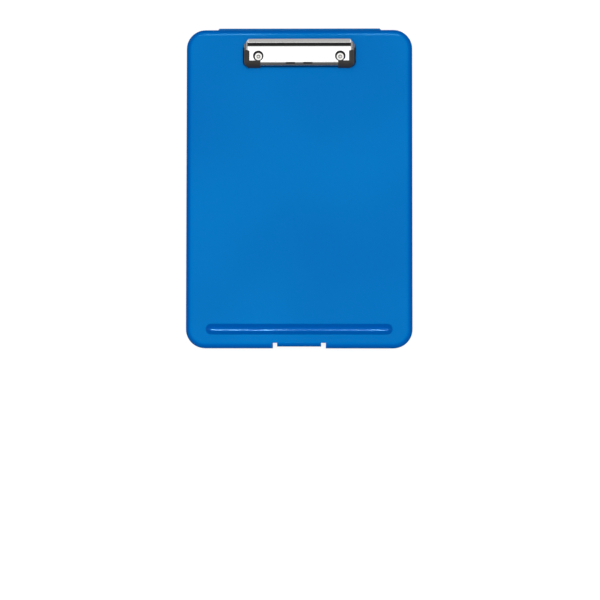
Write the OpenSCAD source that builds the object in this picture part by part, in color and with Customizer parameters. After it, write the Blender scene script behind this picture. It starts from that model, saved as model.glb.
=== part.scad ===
// Storage clipboard box: a shallow tray, a hinged writing lid and a low spring clip riveted to the lid.
// X runs across the box, Y towards the hinge and Z up. The origin is on the resting face, under the
// middle of the whole box, hinge barrel included. The box is modelled shut.

/* [Box] */
// Width across the box
box_w = 250; // [230:1:300]
// Depth from the latch edge to the hinge edge, without the hinge barrel
box_d = 353; // [320:1:400]
// Plan radius of the four corners
corner_r = 21; // [17:0.5:26]
// Height of the tray's outer wall
tray_h = 10.8; // [9.5:0.1:16]
// Height of the lid's outer wall
lid_h = 13; // [11:0.1:18]
// Gap between the two rims when the box is shut
rim_gap = 0.2; // [0.1:0.05:0.5]
// Thickness of both shells' side walls
wall_t = 2; // [1.6:0.1:2.6]
// Thickness of the tray's floor
floor_t = 2; // [1.6:0.1:3]
// Thickness of the lid's writing plate
plate_t = 2.2; // [1.8:0.1:3]
// Radius of the tray's lower edge
tray_edge_r = 3.5; // [2.8:0.1:5]
// Radius of the lid's upper edge
lid_edge_r = 6.5; // [3.5:0.1:7]

/* [Rim tongue] */
// Thickness of the tongue that rises inside the lid
tongue_t = 1.3; // [1:0.1:1.8]
// Height of the tongue above the tray's rim
tongue_h = 2.9; // [1.5:0.1:4]
// Clearance between the tongue and the lid's wall
tongue_gap = 0.35; // [0.25:0.05:0.6]
// Height of the thickened band under the tray's rim
rim_band = 3; // [2:0.1:5]

/* [Hinge] */
// Distance of the hinge axis in front of the rear wall's outer face
hinge_inset = 1.7; // [1.6:0.1:2.6]
// Radius of the hinge barrel
barrel_r = 4.7; // [3.8:0.1:4.8]
// Distance of the hinge barrel's ends from the box's sides
barrel_side = 34.5; // [30.5:0.5:60]
// Length of the barrel's chamfered ends
barrel_chamfer = 1.5; // [0.5:0.1:2]
// Gap between the barrel and each hinge post
post_gap = 1.5; // [0.6:0.1:2.5]
// Gap between each hinge post's outer end and the end of the lid's relief
post_end_gap = 1.3; // [0.8:0.1:2]
// Clearance round the hinge barrel and posts
hinge_gap = 0.3; // [0.25:0.05:0.5]
// Radius of the steel hinge pins
pin_r = 1.5; // [1:0.05:2]
// Depth of each pin in the barrel
pin_in_barrel = 10; // [6:0.5:16]
// Depth of each pin in its post
pin_in_post = 8; // [5:0.5:10]

/* [Latch] */
// Width of the recess in both front walls
recess_w = 58.8; // [50:0.2:80]
// Depth of the recess
recess_d = 6.2; // [5.6:0.1:9]
// Width of the springy latch tab
tab_w = 48.4; // [36:0.2:49]
// Distance of the tab's face behind the front wall
tab_setback = 2; // [1.2:0.1:2.2]
// Thickness of the tab
tab_t = 2; // [1.6:0.1:2.2]
// Length of the tab below the lid's rim
tab_drop = 3.1; // [2.6:0.1:4]
// How far the hook and the catch stand out
hook_d = 0.9; // [0.6:0.05:1]
// Width of the hook and the catch
hook_w = 38; // [20:1:44]

/* [Pen groove] */
// Length of the groove
groove_l = 206; // [120:1:212]
// Width of the groove
groove_w = 12; // [10:0.2:14]
// Radius of the groove's round bottom
groove_bottom_r = 3; // [2:0.1:4]
// Depth of the groove
groove_depth = 5; // [4:0.1:5]
// Distance of the groove's centre line behind the front wall
groove_y = 21; // [20:0.5:40]

/* [Clip] */
// Width of the clip's lever
clip_w = 124.8; // [118:0.2:150]
// Width of the thumb bar's rear edge
thumb_w = 113.6; // [90:0.2:116]
// Distance of the thumb bar behind the lid's rear edge
clip_back = 11.9; // [9:0.1:30]
// Depth of the clip from its thumb bar to its jaw
clip_d = 30.6; // [30:0.2:40]
// Thickness of the clip's steel sheet
sheet_t = 1; // [0.8:0.05:1.2]
// Height of the lever's flat plate above the lid
lever_h = 7.2; // [7:0.1:9]
// Radius of the jaw and sides that are rolled down
roll_r = 5.6; // [4:0.1:5.6]
// Gap between the shut jaw and the lid
jaw_gap = 0.3; // [0.2:0.05:0.5]
// Distance of the pivot from the thumb bar's rear edge
pivot_u = 12; // [11.5:0.1:13]
// Radius of the pivot rod
rod_r = 1.2; // [1:0.05:1.4]
// Wire radius of the spring
wire_r = 0.45; // [0.35:0.05:0.5]
// Number of turns in each of the spring's two coils
spring_turns = 8; // [5:1:8]

/* [Grips and rivets] */
// Thickness of the grips
grip_t = 0.8; // [0.6:0.1:1.2]
// Width of a grip's leg along the side
grip_leg_w = 5.3; // [4:0.1:8]
// Width of a grip along the jaw
grip_w = 17.3; // [12:0.1:24]
// Width of bare steel outside a grip
grip_edge = 2.2; // [1:0.1:2.5]
// Distance between the two rivets
rivet_pitch = 90.4; // [80:0.2:96]
// Distance of the rivets from the thumb bar's rear edge
rivet_u = 19; // [18.8:0.1:19.8]
// Radius of a rivet's head
rivet_head_r = 4.4; // [3.5:0.1:4.8]
// Radius of a rivet's shank
rivet_r = 2.2; // [1.6:0.1:2.6]
// Radius of the access holes in the lever
access_r = 5.8; // [5.2:0.1:6]

/* [Hidden] */
$fn = 96;

// How far a cutting shape runs past the face that it opens.
past = 1;
// How far two joined solids run into each other.
bite = 0.5;
// Clearance of a pressed pin or rod and of one that turns.
press_gap = 0.01;
run_gap = 0.06;

shell_blue = "dodgerblue";
steel = "gainsboro";
dark_steel = "silver";
soft_black = "#3f3b40";

// Levels and lines that both shells share.
total_h = tray_h + rim_gap + lid_h;
lid_rim_z = tray_h + rim_gap;
hinge_z = tray_h + rim_gap / 2;
barrel_out = barrel_r - hinge_inset;
barrel_l = box_w - 2 * barrel_side;
mid_y = -barrel_out / 2;
rear_y = mid_y + box_d / 2;
front_y = mid_y - box_d / 2;
hinge_y = rear_y - hinge_inset;
rim_t = wall_t + tongue_gap + tongue_t;
post_x = barrel_l / 2 + post_gap;
// The lid's rear wall is cut clear of the posts as far as its corner passes in front of the axis.
relief_x = box_w / 2 - corner_r + sqrt(pow(corner_r, 2) - pow(corner_r - hinge_inset, 2)) + past;
post_w = relief_x - post_x - post_end_gap;
// The tongue stops short of the recess's corners.
tongue_break = 2.8;
catch_h = 1.4;
// The hook's round nose sits this far above the tab's end.
hook_lift = 0.3;

// The clip is drawn with u running forward from its rear edge and v up from the lid.
clip_y = rear_y - clip_back;
pivot_v = lever_h / 2;
// Thickness of a grip under the jaw's edge.
grip_sole_t = 0.6;
skirt_v = jaw_gap + grip_sole_t;
knuckle_r = 3;
ear_r = 2.3;
// The ears stand where the lever's sides start to roll down.
ear_x = clip_w / 2 - roll_r + 0.3;
rod_end_gap = 0.5;
rod_l = clip_w - 2 * rod_end_gap;
// The thumb bar bends down from the plate, runs on, turns and rises to its rear edge.
thumb_down_r = 3;
thumb_down_run = 0.4;
thumb_turn_r = 1.6;
thumb_rise = 3.6;
// Depth of the web at each end of the thumb bar.
web_drop = 1.5;
// Each step is a straight run, a turn in degrees and the turn's radius.
thumb_bends = [[2 * bite, -40, thumb_down_r], [thumb_down_run, 52, thumb_turn_r], [thumb_rise, 0, 0]];
// The runs of a bent strip lap over its bends, so that they join.
bend_lap = 0.05;
// How far a bent strip reaches along its middle line.
function strip_reach(steps, i = 0, turned = 0) =
    i == len(steps) ? 0 :
    let (turn = steps[i][1])
        steps[i][0] * cos(turned) + sign(turn) * steps[i][2] * (sin(turned + turn) - sin(turned))
        + strip_reach(steps, i + 1, turned + turn);
// The flat plate starts where the thumb bar's bends end, and the rolled sides run on behind it.
pan_u = strip_reach(thumb_bends) - bite;
wing_u = 1.2;
thumb_taper = 1.4;
// The base plate stops this far behind the jaw, and its tongue reaches this close to the rear edge.
base_jaw_gap = 1.9;
base_front_u = clip_d - sheet_t - base_jaw_gap;
base_tongue_w = 36;
base_tongue_u = 5;
// The spring's two coils lie round the rod, between these distances from the middle.
coil_r = 2;
coil_in = 4.6;
coil_out = 14.8;
coil_steps = 12;
wire_sides = 6;
// The loop between the coils dips by an angle and turns at its rear end.
loop_dip = 14;
loop_u = 6.2;
loop_r = 1.2;
// Two slots over the coils, cut where the plate starts to roll down.
slot_lead = 0.9;
slot_u = clip_d - roll_r + slot_lead;
slot_d = 1.7;
grip_rear_u = 12.2;
grip_front_w = 6.4;
grip_tip_cut = 1.2;
rivet_head_h = 1.3;
rivet_chamfer = 0.5;
rivet_dimple_r = 2.3;
rivet_dimple_curve = 5.5;
rivet_tail_h = 0.8;
rivet_tail_lip = 1.3;
washer_r = 5.5;
washer_t = 0.8;
hole_gap = 0.1;

// ---------- shared outlines ----------

// Rectangle from the origin whose far lower corner is rounded.
module edge_slab(length, height, edge_r) {
    difference() {
        square([length, height]);
        difference() {
            translate([length - edge_r, -past]) square(edge_r + past);
            translate([length - edge_r, edge_r]) circle(edge_r);
        }
    }
}

// Section of a pan's edge: a plate below that turns up into a wall at the far side.
module edge_section(length, height, sheet, wall, edge_r) {
    difference() {
        edge_slab(length, height, edge_r);
        translate([-past, sheet]) edge_slab(length - wall + past, height, edge_r - wall);
    }
}

module shell_section(height, sheet, edge_r) {
    edge_section(corner_r, height, sheet, wall_t, edge_r);
}

// Carries a section round the plan of the box: four corners and four straight sides.
module around_plan() {
    side_x = box_w / 2 - corner_r;
    side_y = box_d / 2 - corner_r;
    for (flip_x = [0, 1], flip_y = [0, 1])
        mirror([flip_x, 0, 0]) mirror([0, flip_y, 0])
            translate([side_x, side_y, 0]) rotate_extrude(angle = 90) children();
    for (flip_x = [0, 1])
        mirror([flip_x, 0, 0]) translate([side_x, 0, 0])
            rotate([90, 0, 0]) linear_extrude(2 * side_y, center = true) children();
    for (flip_y = [0, 1])
        mirror([0, flip_y, 0]) translate([0, side_y, 0])
            rotate([90, 0, 90]) linear_extrude(2 * side_x, center = true) children();
}

module shell(height, sheet, edge_r) {
    around_plan() children();
    translate([0, 0, sheet / 2])
        cube([box_w - 2 * corner_r, box_d - 2 * corner_r, sheet], center = true);
}

// The filled plan of the box between two heights.
module plan_prism(low_z, high_z) {
    translate([0, mid_y, low_z]) linear_extrude(high_z - low_z) {
        square([box_w - 2 * corner_r, box_d], center = true);
        square([box_w, box_d - 2 * corner_r], center = true);
        for (side_x = [-1, 1], side_y = [-1, 1])
            translate([side_x * (box_w / 2 - corner_r), side_y * (box_d / 2 - corner_r)]) circle(corner_r);
    }
}

// A block centred on X from one depth behind the front wall to another, between two heights.
module front_block(width, near_y, far_y, low_z, high_z) {
    translate([-width / 2, front_y + near_y, low_z]) cube([width, far_y - near_y, high_z - low_z]);
}

// A round bar on the hinge axis between two distances from the middle, on one side.
module hinge_bar(side, near_x, far_x, radius) {
    translate([side > 0 ? near_x : -far_x, hinge_y, hinge_z])
        rotate([0, 90, 0]) cylinder(r = radius, h = far_x - near_x);
}

// ---------- tray and lid ----------

module tray_section() {
    shell_section(tray_h, floor_t, tray_edge_r);
    translate([corner_r - rim_t, tray_h - rim_band]) square([rim_t - wall_t / 2, rim_band]);
    translate([corner_r - rim_t, tray_h - bite]) square([tongue_t, tongue_h + bite]);
}

// A hinge post with a rounded head, flush with the rear wall.
module hinge_post(side) {
    intersection() {
        union() {
            hinge_bar(side, post_x, post_x + post_w, barrel_r);
            translate([side > 0 ? post_x : -post_x - post_w, hinge_y - barrel_r, floor_t / 2])
                cube([post_w, barrel_r + hinge_inset + past, hinge_z - floor_t / 2]);
        }
        plan_prism(0, total_h);
    }
}

module tray_shell() {
    tongue_top = tray_h + tongue_h;
    wall_y = recess_d + wall_t;
    color(shell_blue) difference() {
        union() {
            difference() {
                union() {
                    translate([0, mid_y, 0]) shell(tray_h, floor_t, tray_edge_r) tray_section();
                    front_block(recess_w + 2 * wall_t, wall_t / 2, wall_y, floor_t / 2, tray_h);
                    front_block(recess_w, wall_y - bite, recess_d + rim_t, tray_h - rim_band, tray_h);
                    front_block(recess_w - 2 * tongue_break, recess_d + rim_t - tongue_t,
                                recess_d + rim_t, tray_h - bite, tongue_top);
                }
                front_block(recess_w, -past, recess_d, -past, tongue_top + past);
                front_block(recess_w + 2 * (rim_t + tongue_break), -past, recess_d,
                            tray_h, tongue_top + past);
                translate([-relief_x, hinge_y - barrel_r - hinge_gap, tray_h])
                    cube([2 * relief_x, barrel_r + hinge_inset + past, tongue_h + past]);
                for (side = [-1, 1]) hinge_bar(side, 0, post_x, barrel_r + hinge_gap);
            }
            front_block(hook_w, recess_d - hook_d, recess_d + bite, tray_h - catch_h, tray_h);
            for (side = [-1, 1]) hinge_post(side);
        }
        for (side = [-1, 1]) hinge_bar(side, post_x - past, post_x + pin_in_post + bite, pin_r + run_gap);
    }
}

// Section of the latch tab, drawn downwards from the writing face and outwards from its root.
module tab_section() {
    root = recess_d - tab_setback + wall_t / 2;
    edge_section(root, lid_h + tab_drop, plate_t, tab_t, min(lid_edge_r, root));
}

module latch_tab() {
    root_y = front_y + recess_d + wall_t / 2;
    translate([0, root_y, total_h]) rotate([90, 0, -90]) mirror([0, 1, 0])
        linear_extrude(tab_w, center = true) tab_section();
    translate([0, front_y + tab_setback + tab_t, lid_rim_z - tab_drop + hook_d + hook_lift])
        rotate([0, 90, 0]) cylinder(r = hook_d, h = hook_w, center = true);
}

// Half of the groove's section: a sloping side that runs into the round bottom. It grows by a wall.
module groove_half(grow) {
    half_w = groove_w / 2;
    centre_d = groove_depth - groove_bottom_r;
    slope = atan2(centre_d, half_w) + asin(groove_bottom_r / norm([half_w, centre_d]));
    radius = groove_bottom_r + grow;
    foot = [radius * sin(slope), -centre_d - radius * cos(slope)];
    polygon([[0, -centre_d], foot, [foot[0] + (past - foot[1]) / tan(slope), past], [0, past]]);
    intersection() {
        translate([0, -centre_d]) circle(radius);
        translate([0, -groove_depth - grow]) square(2 * radius);
    }
}

// The pen groove, or the trough that carries it when it has grown by a wall. Its ends are round in plan.
module groove_shape(grow) {
    straight = groove_l - groove_w;
    translate([0, front_y + groove_y, total_h]) for (flip = [0, 1]) {
        mirror([flip, 0, 0]) translate([straight / 2, 0, 0]) rotate_extrude() groove_half(grow);
        mirror([0, flip, 0]) rotate([90, 0, 90]) linear_extrude(straight, center = true) groove_half(grow);
    }
}

module hinge_barrel() {
    half = barrel_l / 2;
    end_r = barrel_r - barrel_chamfer;
    translate([0, hinge_y, hinge_z]) rotate([0, 90, 0]) rotate_extrude()
        polygon([[0, -half], [end_r, -half], [barrel_r, barrel_chamfer - half],
                 [barrel_r, half - barrel_chamfer], [end_r, half], [0, half]]);
}

module lid_shell() {
    color(shell_blue) difference() {
        union() {
            difference() {
                union() {
                    translate([0, mid_y, total_h]) mirror([0, 0, 1])
                        shell(lid_h, plate_t, lid_edge_r) shell_section(lid_h, plate_t, lid_edge_r);
                    front_block(recess_w + 2 * wall_t, wall_t / 2, recess_d + wall_t,
                                lid_rim_z, total_h - plate_t / 2);
                    intersection() {
                        groove_shape(wall_t);
                        front_block(box_w, 0, box_d, lid_rim_z, total_h - plate_t / 2);
                    }
                }
                front_block(recess_w, -past, recess_d, lid_rim_z - past, total_h + past);
            }
            latch_tab();
            hinge_barrel();
        }
        groove_shape(0);
        for (side = [-1, 1]) {
            hinge_bar(side, barrel_l / 2, relief_x, barrel_r + hinge_gap);
            hinge_bar(side, barrel_l / 2 - pin_in_barrel, relief_x, pin_r + press_gap);
            translate([side * rivet_pitch / 2, clip_y - rivet_u, lid_rim_z])
                cylinder(r = rivet_r + hole_gap, h = lid_h + past);
        }
    }
}

module hinge_pin(side) {
    color(steel) hinge_bar(side, barrel_l / 2 - pin_in_barrel, post_x + pin_in_post, pin_r);
}

// ---------- clip ----------

module on_lid() {
    translate([0, clip_y, total_h]) rotate([0, 0, 180]) children();
}

// Turns a side view drawn in u and v into a solid across the clip.
module across(width) {
    rotate([90, 0, 90]) linear_extrude(width, center = true) children();
}

// Part of a ring from straight down round by an angle.
module ring_arc(radius, angle) {
    reach = 2 * (radius + sheet_t);
    intersection() {
        difference() {
            circle(radius + sheet_t / 2);
            circle(radius - sheet_t / 2);
        }
        polygon([[0, 0], [0, -reach], [reach * sin(angle / 2), -reach * cos(angle / 2)],
                 [reach * sin(angle), -reach * cos(angle)]]);
    }
}

// A strip of sheet that runs straight and bends, one step after another.
module bent_strip(steps, i = 0) {
    if (i < len(steps)) {
        run = steps[i][0];
        turn = steps[i][1];
        radius = steps[i][2];
        flip = turn < 0 ? 1 : 0;
        translate([-bend_lap, -sheet_t / 2]) square([run + 2 * bend_lap, sheet_t]);
        translate([run, 0]) {
            if (turn != 0) mirror([0, flip]) translate([0, radius]) {
                ring_arc(radius, abs(turn));
                rotate(abs(turn)) translate([0, -radius]) mirror([0, flip]) bent_strip(steps, i + 1);
            }
            if (turn == 0) bent_strip(steps, i + 1);
        }
    }
}

// Carries a section round the clip's pan: two sides, two round corners and the jaw between them.
module around_pan(rear_u) {
    side_x = clip_w / 2 - roll_r;
    front_u = clip_d - roll_r;
    for (flip = [0, 1]) mirror([flip, 0, 0]) translate([side_x, front_u, 0]) {
        rotate_extrude(angle = 90) children();
        rotate([90, 0, 0]) linear_extrude(front_u - rear_u) children();
    }
    translate([0, front_u, 0]) across(2 * side_x) children();
}

// Section of the pan's rolled edge with its plate on top, down to a level.
module roll_section(low) {
    translate([0, lever_h]) mirror([0, 1]) edge_section(roll_r, lever_h - low, sheet_t, sheet_t, roll_r);
}

// Side view of the pan: its sides end in a knuckle round the rod and run out in a thin wing.
module pan_side() {
    translate([pivot_u, 0]) square([clip_d, lever_h]);
    translate([pivot_u, pivot_v]) circle(knuckle_r);
    translate([wing_u, pivot_v]) square([clip_d, lever_h - pivot_v]);
}

module lever_pan() {
    side_x = clip_w / 2 - roll_r;
    intersection() {
        union() {
            around_pan(wing_u) roll_section(skirt_v);
            translate([-side_x, pan_u, lever_h - sheet_t]) cube([2 * side_x, clip_d - roll_r - pan_u, sheet_t]);
        }
        across(clip_w) pan_side();
    }
}

// The thumb bar, with a web at each end that joins it to the wing beside it.
module thumb_bar() {
    web_x = clip_w / 2 - roll_r;
    low_v = lever_h - sheet_t - web_drop;
    across(thumb_w) translate([pan_u + bite, lever_h - sheet_t / 2]) mirror([1, 0]) bent_strip(thumb_bends);
    for (side = [-1, 1])
        translate([side * web_x, 0, 0]) across(sheet_t)
            polygon([[wing_u, lever_h], [wing_u, lever_h - sheet_t], [pan_u / 2 + bite, low_v],
                     [pan_u - web_drop, low_v], [pan_u, lever_h - sheet_t], [pan_u, lever_h]]);
}

// Plan of the lever: its sides run in to the ends of the thumb bar.
module lever_plan() {
    tip_x = thumb_w / 2 - thumb_taper;
    polygon([[-tip_x, -sheet_t], [tip_x, -sheet_t], [thumb_w / 2, wing_u], [clip_w / 2, pan_u],
             [clip_w / 2, clip_d], [-clip_w / 2, clip_d], [-clip_w / 2, pan_u], [-thumb_w / 2, wing_u]]);
}

module clip_lever() {
    color(steel) on_lid() difference() {
        intersection() {
            union() {
                lever_pan();
                thumb_bar();
            }
            linear_extrude(2 * lever_h) lever_plan();
        }
        translate([0, pivot_u, pivot_v]) rotate([0, 90, 0])
            cylinder(r = rod_r + run_gap, h = clip_w + past, center = true);
        for (side = [-1, 1]) {
            translate([side * rivet_pitch / 2, rivet_u, 0]) cylinder(r = access_r, h = lever_h + past);
            translate([side * (coil_in + coil_out) / 2, slot_u + slot_d / 2, lever_h])
                cube([coil_out - coil_in, slot_d, lever_h], center = true);
        }
    }
}

module clip_base_plate() {
    color(dark_steel) on_lid() difference() {
        union() {
            translate([-ear_x, pan_u + bite, 0]) cube([2 * ear_x, base_front_u - pan_u - bite, sheet_t]);
            translate([-base_tongue_w / 2, base_tongue_u, 0])
                cube([base_tongue_w, pan_u + 2 * bite - base_tongue_u, sheet_t]);
            for (side = [-1, 1])
                translate([side * (ear_x - sheet_t / 2), 0, 0]) across(sheet_t) {
                    translate([pivot_u, pivot_v]) circle(ear_r);
                    translate([pivot_u - ear_r, 0]) square([2 * ear_r, pivot_v]);
                }
        }
        translate([0, pivot_u, pivot_v]) rotate([0, 90, 0])
            cylinder(r = rod_r + press_gap, h = clip_w, center = true);
        for (side = [-1, 1])
            translate([side * rivet_pitch / 2, rivet_u, -past])
                cylinder(r = rivet_r + hole_gap, h = sheet_t + 2 * past);
    }
}

module clip_pivot_rod() {
    color(steel) on_lid() translate([0, pivot_u, pivot_v]) rotate([0, 90, 0]) {
        cylinder(r = rod_r, h = rod_l, center = true);
    }
}

// Half of the spring's wire, from the free leg on the base through a coil to the middle loop.
coil_sweep = 360 * spring_turns + 180 + loop_dip;
coil_count = ceil(coil_sweep / 360 * coil_steps);
function coil_point(turn) =
    [coil_out - (coil_out - coil_in) * turn / coil_sweep,
     pivot_u + coil_r * sin(turn), pivot_v - coil_r * cos(turn)];
function loop_point(x, u) =
    let (last = coil_point(coil_sweep)) [x, u, last[2] - (last[1] - u) * tan(loop_dip)];
half_wire = concat(
    [[coil_out, base_tongue_u + bite, pivot_v - coil_r]],
    [for (i = [0 : coil_count]) coil_point(coil_sweep * i / coil_count)],
    [for (a = [0 : 30 : 90])
        loop_point(coil_in - loop_r * (1 - cos(a)), loop_u + loop_r * (1 - sin(a)))]);
spring_wire = concat(half_wire,
    [for (i = [len(half_wire) - 1 : -1 : 0]) [-half_wire[i][0], half_wire[i][1], half_wire[i][2]]]);

function unit(v) = v / norm(v);
function tangents(path) =
    [for (i = [0 : len(path) - 1]) unit(path[min(i + 1, len(path) - 1)] - path[max(i - 1, 0)])];
// Carries a normal along the wire without twisting it.
function carried(along, normal, i = 0) =
    i == len(along) ? [] :
    let (next = unit(normal - (normal * along[i]) * along[i])) concat([next], carried(along, next, i + 1));

// A round wire swept along a path of points.
module wire(path, radius, sides) {
    along = tangents(path);
    normals = carried(along, [1, 0, 0]);
    last = len(path) - 1;
    points = [for (i = [0 : last], k = [0 : sides - 1])
        let (a = 360 * k / sides)
            path[i] + radius * (cos(a) * normals[i] + sin(a) * cross(along[i], normals[i]))];
    skin = [for (i = [0 : last - 1], k = [0 : sides - 1])
        let (a = i * sides + k, b = i * sides + (k + 1) % sides) [a, a + sides, b + sides, b]];
    start = [[for (k = [0 : sides - 1]) k]];
    end = [[for (k = [sides - 1 : -1 : 0]) last * sides + k]];
    polyhedron(points, concat(start, skin, end));
}

module clip_spring() {
    color(dark_steel) on_lid() wire(spring_wire, wire_r, wire_sides);
}

// Section of a grip: it lies on the rolled edge and wraps under it.
module grip_section() {
    difference() {
        translate([0, lever_h + grip_t]) mirror([0, 1])
            edge_slab(roll_r + grip_t, lever_h + grip_t - jaw_gap, roll_r + grip_t);
        translate([-past, lever_h]) mirror([0, 1]) edge_slab(roll_r + past, lever_h - skirt_v, roll_r);
        translate([-past, 0]) square([roll_r - sheet_t - grip_t + past, skirt_v + bite]);
    }
}

// Plan of a grip: a leg along the side and one along the jaw. It leaves the pan's round corner bare.
module grip_plan() {
    outer_x = clip_w / 2 - grip_edge;
    corner_x = clip_w / 2 - roll_r;
    front_u = clip_d + grip_t;
    rear_u = clip_d - grip_front_w;
    inner_x = outer_x - grip_leg_w;
    polygon([[corner_x, front_u], [outer_x, front_u - outer_x + corner_x],
             [outer_x, grip_rear_u + grip_tip_cut], [outer_x - grip_tip_cut, grip_rear_u],
             [inner_x, grip_rear_u + grip_tip_cut], [inner_x, rear_u],
             [outer_x - grip_w, rear_u], [outer_x - grip_w, front_u]]);
}

// The grip reaches under the rolled edge along the jaw only.
module jaw_grip(side) {
    end_x = clip_w / 2 - grip_edge - grip_w;
    corner_x = clip_w / 2 - roll_r;
    color(soft_black) on_lid() mirror([side > 0 ? 1 : 0, 0]) intersection() {
        union() {
            around_pan(grip_rear_u) grip_section();
            translate([end_x, grip_rear_u, lever_h])
                cube([corner_x + bite - end_x, clip_d - roll_r + bite - grip_rear_u, grip_t]);
        }
        union() {
            translate([0, 0, pivot_v]) linear_extrude(lever_h) grip_plan();
            translate([end_x, clip_d - grip_front_w, 0])
                cube([corner_x - end_x, grip_front_w + grip_t, pivot_v + bite]);
        }
    }
}

module rivet(side) {
    body_l = rivet_head_h + sheet_t + plate_t + washer_t + rivet_tail_h;
    color(steel) on_lid() translate([-side * rivet_pitch / 2, rivet_u, sheet_t + rivet_head_h - body_l]) {
        rotate_extrude() difference() {
            union() {
                square([rivet_r, body_l]);
                translate([0, body_l - rivet_head_h])
                    polygon([[0, 0], [rivet_head_r, 0], [rivet_head_r, rivet_head_h - rivet_chamfer],
                             [rivet_head_r - rivet_chamfer, rivet_head_h], [0, rivet_head_h]]);
                square([rivet_r + rivet_tail_lip, rivet_tail_h]);
            }
            translate([0, body_l + sqrt(pow(rivet_dimple_curve, 2) - pow(rivet_dimple_r, 2))])
                circle(rivet_dimple_curve);
        }
    }
}

module rivet_washer(side) {
    color(dark_steel) on_lid() translate([-side * rivet_pitch / 2, rivet_u, -plate_t - washer_t])
        difference() {
            cylinder(r = washer_r, h = washer_t);
            translate([0, 0, -past]) cylinder(r = rivet_r + hole_gap, h = washer_t + 2 * past);
        }
}

tray_shell();
lid_shell();
hinge_pin(-1);  // hinge_pin_left
hinge_pin(1);  // hinge_pin_right
clip_base_plate();
clip_lever();
clip_pivot_rod();
clip_spring();
jaw_grip(-1);  // jaw_grip_left
jaw_grip(1);  // jaw_grip_right
rivet(-1);  // rivet_left
rivet(1);  // rivet_right
rivet_washer(-1);  // rivet_washer_left
rivet_washer(1);  // rivet_washer_right
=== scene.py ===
# Storage clipboard box: a shallow blue plastic tray, its hinged lid and the steel clip on the lid.
import math
import bpy
from mathutils import Matrix, Vector


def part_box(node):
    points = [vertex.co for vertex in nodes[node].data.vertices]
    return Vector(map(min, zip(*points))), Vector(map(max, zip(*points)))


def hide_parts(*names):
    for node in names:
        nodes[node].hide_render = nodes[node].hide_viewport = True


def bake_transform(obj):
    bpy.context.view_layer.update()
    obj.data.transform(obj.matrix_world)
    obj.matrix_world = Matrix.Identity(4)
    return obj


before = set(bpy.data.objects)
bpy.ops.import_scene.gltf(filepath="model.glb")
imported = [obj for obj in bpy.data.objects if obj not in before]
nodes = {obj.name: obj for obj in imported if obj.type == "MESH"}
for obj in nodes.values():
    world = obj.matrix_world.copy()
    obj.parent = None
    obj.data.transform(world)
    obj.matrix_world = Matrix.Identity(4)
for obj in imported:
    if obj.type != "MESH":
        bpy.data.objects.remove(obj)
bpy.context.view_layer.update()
bpy.ops.object.select_all(action="DESELECT")
print("stage: frame loaded,", len(nodes), "nodes")


# short calls for the nodes of a material
def newMaterial(name):
    mat = bpy.data.materials.new(name)
    mat.use_nodes = True
    tree = mat.node_tree
    coords = tree.nodes.new("ShaderNodeTexCoord")
    return mat, tree, tree.nodes["Principled BSDF"], coords.outputs["Object"]


def feed(tree, value, socket):
    # a number or a colour is set on the socket itself, anything else is linked to it
    if isinstance(value, (int, float, tuple)):
        socket.default_value = value
    else:
        tree.links.new(value, socket)


def reckon(tree, operation, first, second=0.0):
    node = tree.nodes.new("ShaderNodeMath")
    node.operation = operation
    feed(tree, first, node.inputs[0])
    feed(tree, second, node.inputs[1])
    return node.outputs[0]


def plus(tree, first, second):
    return reckon(tree, "ADD", first, second)


def times(tree, first, second):
    return reckon(tree, "MULTIPLY", first, second)


def larger(tree, first, second):
    return reckon(tree, "MAXIMUM", first, second)


def fromCentre(tree, value, centre=0.0):
    return reckon(tree, "ABSOLUTE", plus(tree, value, -centre))


def spread(tree, value, low, high, fromLow=0.0, fromHigh=1.0):
    node = tree.nodes.new("ShaderNodeMapRange")
    feed(tree, value, node.inputs["Value"])
    node.inputs["From Min"].default_value = fromLow
    node.inputs["From Max"].default_value = fromHigh
    node.inputs["To Min"].default_value = low
    node.inputs["To Max"].default_value = high
    return node.outputs["Result"]


def pastEdge(tree, value, edge, soft):
    return spread(tree, value, 0.0, 1.0, edge - soft, edge + soft)


def beforeEdge(tree, value, edge, soft):
    return spread(tree, value, 1.0, 0.0, edge - soft, edge + soft)


def axes(tree, coords):
    node = tree.nodes.new("ShaderNodeSeparateXYZ")
    tree.links.new(coords, node.inputs[0])
    return node.outputs["X"], node.outputs["Y"], node.outputs["Z"]


def stretched(tree, coords, scale, turn=(0, 0, 0)):
    node = tree.nodes.new("ShaderNodeMapping")
    node.inputs["Scale"].default_value = scale
    node.inputs["Rotation"].default_value = turn
    tree.links.new(coords, node.inputs["Vector"])
    return node.outputs["Vector"]


def noise(tree, coords, scale, detail):
    node = tree.nodes.new("ShaderNodeTexNoise")
    node.inputs["Scale"].default_value = scale
    node.inputs["Detail"].default_value = detail
    tree.links.new(coords, node.inputs["Vector"])
    return node.outputs["Fac"]


def blendColours(tree, factor, first, second):
    node = tree.nodes.new("ShaderNodeMix")
    node.data_type = "RGBA"
    feed(tree, factor, node.inputs["Factor"])
    feed(tree, first, node.inputs["A"])
    feed(tree, second, node.inputs["B"])
    return node.outputs["Result"]


def bump(tree, height, distance, strength, under=None):
    node = tree.nodes.new("ShaderNodeBump")
    node.inputs["Distance"].default_value = distance
    feed(tree, strength, node.inputs["Strength"])
    feed(tree, height, node.inputs["Height"])
    if under is not None:
        tree.links.new(under, node.inputs["Normal"])
    return node.outputs["Normal"]


def linear(red, green, blue):
    # 0-255 screen values to the linear values that a colour socket takes
    def one(v):
        v = v / 255
        return v / 12.92 if v <= 0.04045 else ((v + 0.055) / 1.055) ** 2.4
    return (one(red), one(green), one(blue), 1.0)


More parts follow.
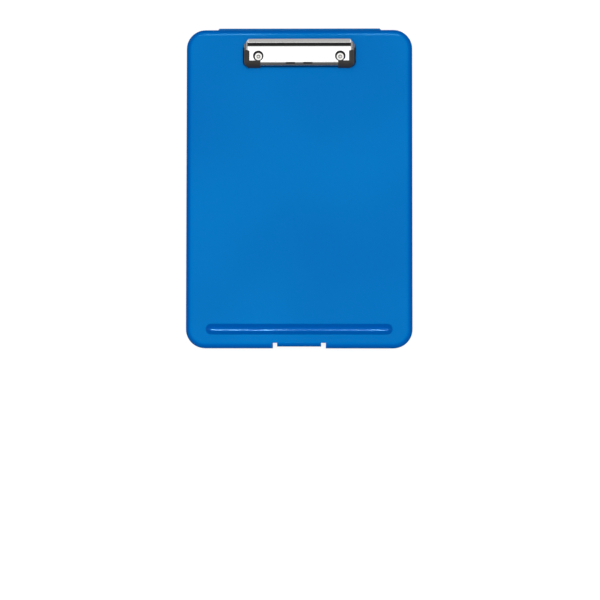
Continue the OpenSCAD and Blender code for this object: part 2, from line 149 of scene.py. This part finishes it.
# blue plastic of the tray and the lid
def grooveMask(tree, coords, outside, inside):
    # one value outside the pen groove and another in it, below the writing face
    groove = {"x": 0.1035, "y": -0.157, "halfWidth": 0.0061, "bottom": 0.0185, "top": 0.0237}
    x, y, z = axes(tree, coords)
    near = reckon(tree, "LESS_THAN", fromCentre(tree, y, groove["y"]), groove["halfWidth"])
    within = reckon(tree, "LESS_THAN", fromCentre(tree, x), groove["x"])
    low = reckon(tree, "LESS_THAN", z, groove["top"])
    high = reckon(tree, "GREATER_THAN", z, groove["bottom"])
    return spread(tree, times(tree, times(tree, near, within), times(tree, low, high)), outside, inside)


def edgeMask(tree, coords, full):
    # 1 on the rolled edge just below the writing face, 0 on the face and on the straight walls
    edge = {"face": 0.023999, "lower": 0.0212, "wall": 0.0178}
    height = axes(tree, coords)[2]
    below = spread(tree, height, 1.0, 0.0, full, edge["face"])
    above = spread(tree, height, 0.0, 1.0, edge["wall"], edge["lower"])
    return times(tree, below, above)


def bluePlastic():
    # grainStrength, waveStrength and coat give the face first and then the groove
    look = {
        "colour": linear(0, 116, 193), "deeper": linear(0, 110, 187), "shaded": linear(0, 95, 180),
        "cloud": (7.0, 1.0), "cloudEdges": (0.35, 0.65), "shadedFrom": 0.0234,
        "roughness": 0.34, "rubs": (28.0, 3.0), "rubbed": (-0.03, 0.04),
        "scuffSize": (900, 22, 22), "scuffTurn": (0, 0, 0.5), "scuffs": (1.0, 4.0), "scuffed": (0, 0.08, 0.62, 0.8),
        "grain": (2600.0, 2.0), "grainDepth": 0.000012, "grainStrength": (0.6, 0.03),
        "wave": (16.0, 1.0), "waveDepth": 0.00012, "waveStrength": (0.5, 0.0),
        "coat": (0.15, 0.35), "edgeCoat": 0.12, "edgeCoatFrom": 0.02398, "coatRoughness": 0.09, "coatIor": 1.45,
    }
    mat, tree, shader, coords = newMaterial("satinBluePlastic")
    inGroove = grooveMask(tree, coords, 0.0, 1.0)
    cloud = spread(tree, noise(tree, coords, *look["cloud"]), 0, 1, *look["cloudEdges"])
    plain = blendColours(tree, cloud, look["colour"], look["deeper"])
    # the pen groove and the rolled edge take the shaded colour: painted shade where their slopes get less light
    paintedShade = larger(tree, inGroove, edgeMask(tree, coords, look["shadedFrom"]))
    feed(tree, blendColours(tree, paintedShade, plain, look["shaded"]), shader.inputs["Base Color"])
    # satin moulding skin with soft rubbed patches and hair-fine scuffs
    rubbed = spread(tree, noise(tree, coords, *look["rubs"]), *look["rubbed"])
    hairs = stretched(tree, coords, look["scuffSize"], look["scuffTurn"])
    scuffed = spread(tree, noise(tree, hairs, *look["scuffs"]), *look["scuffed"])
    feed(tree, plus(tree, plus(tree, rubbed, scuffed), look["roughness"]), shader.inputs["Roughness"])
    grainStrength = grooveMask(tree, coords, *look["grainStrength"])
    skin = bump(tree, noise(tree, coords, *look["grain"]), look["grainDepth"], grainStrength)
    waveStrength = grooveMask(tree, coords, *look["waveStrength"])
    wave = bump(tree, noise(tree, coords, *look["wave"]), look["waveDepth"], waveStrength, skin)
    feed(tree, wave, shader.inputs["Normal"])
    # the gloss is all in the coat: fuller in the groove, thinner on the rolled edge
    shader.inputs["Specular IOR Level"].default_value = 0.0
    coat = grooveMask(tree, coords, *look["coat"])
    kept = spread(tree, edgeMask(tree, coords, look["edgeCoatFrom"]), 1.0, look["edgeCoat"])
    feed(tree, times(tree, coat, larger(tree, kept, inGroove)), shader.inputs["Coat Weight"])
    shader.inputs["Coat Roughness"].default_value = look["coatRoughness"]
    shader.inputs["Coat IOR"].default_value = look["coatIor"]
    return mat


# bright plating of the lever
def bendMasks(tree, coords):
    # a painted dark reflection along the bend between the plate of the lever and its thumb bar, and painted shade low
    # on the front roll
    bend = {"front": 0.1546, "rear": 0.1588, "end": 0.0572, "soft": 0.0004,
            "lowest": 0.0284, "low": 0.0299, "roll": 0.137}
    x, y, z = axes(tree, coords)
    behindFront = pastEdge(tree, y, bend["front"], bend["soft"])
    across = times(tree, behindFront, beforeEdge(tree, y, bend["rear"], bend["soft"]))
    paintedBendReflection = times(tree, across, beforeEdge(tree, fromCentre(tree, x), bend["end"], bend["soft"]))
    low = spread(tree, z, 1.0, 0.0, bend["lowest"], bend["low"])
    return paintedBendReflection, times(tree, low, reckon(tree, "LESS_THAN", y, bend["roll"]))


def endMasks(tree, coords):
    # masks for painted dark reflections: the pressed shoulder at each end of the lever, and the turned-down edge
    # outside the grips
    ends = {"shoulder": 0.0568, "edge": 0.0604, "soft": 0.0003, "full": 0.1532, "rear": 0.1538}
    x, y = axes(tree, coords)[:2]
    out = fromCentre(tree, x)
    front = spread(tree, y, 1.0, 0.0, ends["full"], ends["rear"])
    edge = times(tree, pastEdge(tree, out, ends["edge"], ends["soft"]), front)
    return pastEdge(tree, out, ends["shoulder"], ends["soft"]), edge


def platedSteel():
    look = {
        "colour": (0.86, 0.86, 0.85, 1), "darker": (0.8, 0.8, 0.8, 1), "cloud": (60.0, 2.0),
        "bend": (0.03, 0.03, 0.03, 1), "foot": (0.15, 0.15, 0.16, 1),
        "shoulder": (0.26, 0.26, 0.27, 1), "edge": (0.03, 0.03, 0.035, 1),
        "roughness": 0.13, "brushSize": (60, 2400, 2400), "brush": (1.0, 3.0), "brushed": (-0.03, 0.05),
        "smudge": (90.0, 3.0), "smudged": (0, 0.06, 0.5, 0.75),
        "grainSize": (50, 1900, 1900), "grain": (1.0, 2.0), "grainDepth": 0.000004, "grainStrength": 0.5,
    }
    mat, tree, shader, coords = newMaterial("platedSteel")
    colour = blendColours(tree, noise(tree, coords, *look["cloud"]), look["colour"], look["darker"])
    shoulder, edge = endMasks(tree, coords)
    paintedBendReflection, foot = bendMasks(tree, coords)
    # painted reflections and painted shade darken the plating: grey on the shoulders, near black on the turned-down
    # edges and along the bend, dark at the foot of the roll
    for mask, tone in ((shoulder, "shoulder"), (edge, "edge"), (foot, "foot"), (paintedBendReflection, "bend")):
        colour = blendColours(tree, mask, colour, look[tone])
    feed(tree, colour, shader.inputs["Base Color"])
    brush = stretched(tree, coords, look["brushSize"])
    brushed = spread(tree, noise(tree, brush, *look["brush"]), *look["brushed"])
    smudged = spread(tree, noise(tree, coords, *look["smudge"]), *look["smudged"])
    feed(tree, plus(tree, plus(tree, brushed, smudged), look["roughness"]), shader.inputs["Roughness"])
    grain = noise(tree, stretched(tree, coords, look["grainSize"]), *look["grain"])
    feed(tree, bump(tree, grain, look["grainDepth"], look["grainStrength"]), shader.inputs["Normal"])
    shader.inputs["Metallic"].default_value = 1.0
    return mat


# the other finishes share one recipe: two clouded tones, uneven roughness and a fine grain
def mottled(name, look):
    mat, tree, shader, coords = newMaterial(name)
    colour = blendColours(tree, noise(tree, coords, *look["cloud"]), look["colour"], look["second"])
    feed(tree, colour, shader.inputs["Base Color"])
    uneven = spread(tree, noise(tree, coords, *look["marks"]), *look["uneven"])
    feed(tree, plus(tree, uneven, look["roughness"]), shader.inputs["Roughness"])
    grain = bump(tree, noise(tree, coords, *look["grain"]), look["grainDepth"], look["grainStrength"])
    feed(tree, grain, shader.inputs["Normal"])
    return mat, tree, shader, coords, colour


def mottledSteel(name, look):
    parts = mottled(name, look)
    parts[2].inputs["Metallic"].default_value = 1.0
    return parts


def plainSteel():
    look = {"colour": (0.62, 0.61, 0.59, 1), "second": (0.5, 0.49, 0.47, 1), "cloud": (140.0, 4.0),
            "roughness": 0.3, "marks": (420.0, 4.0), "uneven": (-0.05, 0.12),
            "grain": (1500.0, 2.0), "grainDepth": 0.00001, "grainStrength": 0.5}
    return mottledSteel("plainSteel", look)[0]


# the base plate and the pivot rod are painted near black: a painted shade for the shadow under the lever
def shadePaintedPlateSteel():
    look = {"colour": (0.07, 0.07, 0.075, 1), "second": (0.04, 0.04, 0.045, 1), "cloud": (110.0, 4.0),
            "roughness": 0.46, "marks": (380.0, 4.0), "uneven": (-0.06, 0.1),
            "grain": (1300.0, 2.0), "grainDepth": 0.00001, "grainStrength": 0.5}
    return mottledSteel("shadePaintedPlateSteel", look)[0]


def springSteel():
    look = {"colour": (0.42, 0.41, 0.4, 1), "second": (0.3, 0.29, 0.28, 1), "cloud": (500.0, 3.0),
            "roughness": 0.26, "marks": (900.0, 3.0), "uneven": (-0.05, 0.1),
            "grain": (2400.0, 2.0), "grainDepth": 0.000008, "grainStrength": 0.5}
    return mottledSteel("springSteel", look)[0]


def rivetSteel(centre):
    # bright domed head, with painted shade in the wall of its dimple and round its chamfer
    look = {"colour": (0.92, 0.91, 0.88, 1), "second": (0.8, 0.79, 0.76, 1), "cloud": (140.0, 4.0),
            "roughness": 0.27, "marks": (420.0, 4.0), "uneven": (-0.05, 0.1),
            "grain": (1500.0, 2.0), "grainDepth": 0.00001, "grainStrength": 0.5,
            "shade": (0.1, 0.1, 0.1, 1), "dimple": (0.0011, 0.0014, 0.0019, 0.0023), "dimpleShade": 0.6,
            "rim": (0.00395, 0.0042)}
    mat, tree, shader, coords, head = mottledSteel("brightRivetSteel", look)
    x, y = axes(tree, coords)[:2]
    across = reckon(tree, "POWER", plus(tree, fromCentre(tree, x), -abs(centre[0])), 2.0)
    along = reckon(tree, "POWER", plus(tree, y, -centre[1]), 2.0)
    reach = reckon(tree, "POWER", plus(tree, across, along), 0.5)
    start, full, fade, end = look["dimple"]
    wall = times(tree, spread(tree, reach, 0, look["dimpleShade"], start, full), spread(tree, reach, 1, 0, fade, end))
    shaded = larger(tree, wall, spread(tree, reach, 0, 1, *look["rim"]))
    feed(tree, blendColours(tree, shaded, head, look["shade"]), shader.inputs["Base Color"])
    return mat


def gripRubber():
    look = {"colour": linear(44, 41, 40), "second": linear(54, 51, 49), "cloud": (160.0, 3.0),
            "roughness": 0.5, "marks": (320.0, 3.0), "uneven": (-0.05, 0.09),
            "grain": (1500.0, 3.0), "grainDepth": 0.00004, "grainStrength": 0.6, "specular": 0.35}
    parts = mottled("softGripRubber", look)
    parts[2].inputs["Specular IOR Level"].default_value = look["specular"]
    return parts[0]


# each slot takes the finish of its name, then the small steel pieces get their own
finishes = {
    "blue_plastic": bluePlastic(),
    "plated_steel": platedSteel(),
    "plain_steel": plainSteel(),
    "spring_steel": springSteel(),
    "grip_rubber": gripRubber(),
}
for node in nodes.values():
    for place in node.material_slots:
        place.material = finishes[place.material.name]


def finishWith(material, *names):
    for name in names:
        nodes[name].material_slots[0].material = material


rivetCentre = [(low + high) / 2 for low, high in zip(*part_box("rivet_left"))]
finishWith(shadePaintedPlateSteel(), "clip_base_plate", "clip_pivot_rod")
finishWith(rivetSteel(rivetCentre), "rivet_left", "rivet_right")
print("stage: finishes given to the nodes")


# a welded, smooth-shaded copy takes the place of the spring node, which is hidden; on the clip its free legs stay on
# the base plate and its middle loop turns with the lever
def woundSpring():
    wind = {"legs": (0, 0.1511, 0.0256), "loop": (0, 0.1511, 0.0284), "weld": 0.000002, "smoothTo": 75}
    spring = bpy.data.objects.new("woundSpring", nodes["clip_spring"].data.copy())
    bpy.context.scene.collection.objects.link(spring)
    bpy.context.view_layer.objects.active = spring
    spring.select_set(True)
    bpy.ops.object.mode_set(mode="EDIT")
    bpy.ops.mesh.select_all(action="SELECT")
    bpy.ops.mesh.remove_doubles(threshold=wind["weld"])
    bpy.ops.object.mode_set(mode="OBJECT")
    bpy.ops.object.shade_smooth_by_angle(angle=math.radians(wind["smoothTo"]))
    spring.select_set(False)
    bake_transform(spring)
    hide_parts("clip_spring")


woundSpring()


# pale floor and soft world
def mirrored(tree, path):
    # 1 for what gloss and glass see
    return larger(tree, path.outputs["Is Glossy Ray"], path.outputs["Is Transmission Ray"])


def paleFloor():
    paint = {"size": 12.0, "drop": 0.0004, "colour": (0.24, 0.24, 0.24, 1), "lift": 0.83}
    bpy.ops.mesh.primitive_plane_add(size=paint["size"], location=(0, 0, -paint["drop"]))
    floor = bpy.context.object
    floor.name = "paleFloor"
    bpy.ops.object.transform_apply(location=True)
    mat = bpy.data.materials.new("paleFloorPaint")
    mat.use_nodes = True
    tree = mat.node_tree
    tree.nodes.clear()
    matt = tree.nodes.new("ShaderNodeBsdfDiffuse")
    matt.inputs["Color"].default_value = paint["colour"]
    # lifted to white where it is seen, while the paint still takes the shadow
    path = tree.nodes.new("ShaderNodeLightPath")
    glow = tree.nodes.new("ShaderNodeEmission")
    seen = larger(tree, path.outputs["Is Camera Ray"], mirrored(tree, path))
    feed(tree, times(tree, seen, paint["lift"]), glow.inputs["Strength"])
    both = tree.nodes.new("ShaderNodeAddShader")
    tree.links.new(matt.outputs[0], both.inputs[0])
    tree.links.new(glow.outputs[0], both.inputs[1])
    out = tree.nodes.new("ShaderNodeOutputMaterial")
    tree.links.new(both.outputs[0], out.inputs["Surface"])
    floor.data.materials.append(mat)


def softWorld():
    # the dome is what mirrors and lacquer see, and the light falls on the matt colours, mostly from overhead
    levels = {"horizon": 0.95, "middle": 0.6, "overhead": 0.13, "middleAt": 0.5, "darkening": (0.72, 0.92),
              "sideLight": 0.22, "topLight": 3.85, "steepness": 5.0}
    flag = {"level": 0.13, "halfWidth": (0.2, 0.28), "front": (-0.2, -0.05)}
    world = bpy.data.worlds.new("softWorld")
    bpy.context.scene.world = world
    world.use_nodes = True
    tree = world.node_tree
    tree.nodes.clear()
    coords = tree.nodes.new("ShaderNodeTexCoord")
    x, y, z = axes(tree, coords.outputs["Generated"])
    sides = plus(tree, spread(tree, z, levels["horizon"] - levels["middle"], 0, 0.0, levels["middleAt"]),
                 spread(tree, z, levels["middle"], levels["overhead"], *levels["darkening"]))
    # a dark flag stands before the box, narrow and tall, so that its rolled steel has a dark side
    narrow = spread(tree, fromCentre(tree, x), 1, 0, *flag["halfWidth"])
    dark = times(tree, narrow, spread(tree, y, 1, 0, *flag["front"]))
    dome = plus(tree, times(tree, sides, reckon(tree, "SUBTRACT", 1.0, dark)), times(tree, dark, flag["level"]))
    steep = reckon(tree, "POWER", spread(tree, z, 0, 1), levels["steepness"])
    light = plus(tree, times(tree, steep, levels["topLight"]), levels["sideLight"])
    # the camera itself sees white
    path = tree.nodes.new("ShaderNodeLightPath")
    strength = light
    for factor, level in ((mirrored(tree, path), dome), (path.outputs["Is Camera Ray"], 1.0)):
        choice = tree.nodes.new("ShaderNodeMix")
        feed(tree, factor, choice.inputs["Factor"])
        feed(tree, strength, choice.inputs["A"])
        feed(tree, level, choice.inputs["B"])
        strength = choice.outputs["Result"]
    sky = tree.nodes.new("ShaderNodeBackground")
    feed(tree, strength, sky.inputs["Strength"])
    out = tree.nodes.new("ShaderNodeOutputWorld")
    tree.links.new(sky.outputs[0], out.inputs["Surface"])


paleFloor()
softWorld()
print("stage: floor and world")


# level cards over the box, each showing in the gloss of a few pieces alone
def lampGroup(name, members):
    group = bpy.data.collections.new(name)
    for member in members:
        group.objects.link(nodes[member])
    return group


def softCard(name, across, along, level, only, tint):
    height = 1.5
    wide, paintedShade = across[1] - across[0], along[1] - along[0]
    light = bpy.data.lights.new(name, "AREA")
    light.color = tint
    light.shape = "RECTANGLE"
    light.size = wide
    light.size_y = paintedShade
    light.energy = level * wide * paintedShade * math.pi      # level 1 is white
    lamp = bpy.data.objects.new(name, light)
    bpy.context.scene.collection.objects.link(lamp)
    lamp.location = (sum(across) / 2, sum(along) / 2, height)
    lamp.visible_camera = False
    lamp.visible_diffuse = False
    lamp.light_linking.receiver_collection = only


def hangCards():
    clipNames = [name for name in nodes if name.startswith(("clip_", "jaw_", "rivet_")) and name != "clip_base_plate"]
    clipPieces = lampGroup("clipPieces", clipNames)
    lidAlone = lampGroup("lidAlone", ["lid_shell"])
    shellsAndLever = lampGroup("shellsAndLever", ["lid_shell", "tray_shell", "clip_lever"])
    plain, cool = (1, 1, 1), (0.24, 0.72, 1.0)
    # two strips line the long edges, three small bright cards lay the pale line in the groove, two light the clip
    cards = {
        "sideStripLeft": ((-0.93, -0.67), (-0.65, 0.65), 2.4, shellsAndLever, plain),
        "sideStripRight": ((0.63, 0.89), (-0.65, 0.65), 2.4, shellsAndLever, plain),
        "grooveCardLeft": ((-0.37, -0.06), (0.7, 1.17), 190.0, lidAlone, cool),
        "grooveCardMiddle": ((-0.06, 0.09), (0.7, 1.17), 42.0, lidAlone, cool),
        "grooveCardRight": ((0.07, 0.32), (0.7, 1.17), 180.0, lidAlone, cool),
        "clipCard": ((-0.62, 0.58), (0.04, 0.82), 1.25, clipPieces, plain),
        "clipFill": ((-0.62, 0.58), (-0.4, 0.04), 0.35, clipPieces, plain),
    }
    for name, card in cards.items():
        softCard(name, *card)


hangCards()
print("stage: cards hung")


# camera over the closed box, with the rear of the box up
def aimCamera():
    view = {"place": (0.03, -0.201, 2.048), "aim": (0.001, -0.12494, 0.024), "lens": 110.45, "sensor": 36.0,
            "roll": 0.057, "nearest": 0.01}
    data = bpy.data.cameras.new("camera")
    camera = bpy.data.objects.new("camera", data)
    bpy.context.scene.collection.objects.link(camera)
    camera.location = view["place"]
    ahead = (Vector(view["aim"]) - Vector(view["place"])).normalized()
    across = ahead.cross(Vector((0, 1, 0))).normalized()
    straight = Matrix((across, across.cross(ahead), -ahead)).transposed()
    camera.rotation_euler = (straight @ Matrix.Rotation(math.radians(view["roll"]), 3, "Z")).to_euler()
    data.lens = view["lens"]
    data.sensor_width = view["sensor"]
    data.clip_start = view["nearest"]
    bpy.context.scene.camera = camera


aimCamera()
bpy.context.scene.view_settings.view_transform = "Standard"
print("stage: camera aimed")
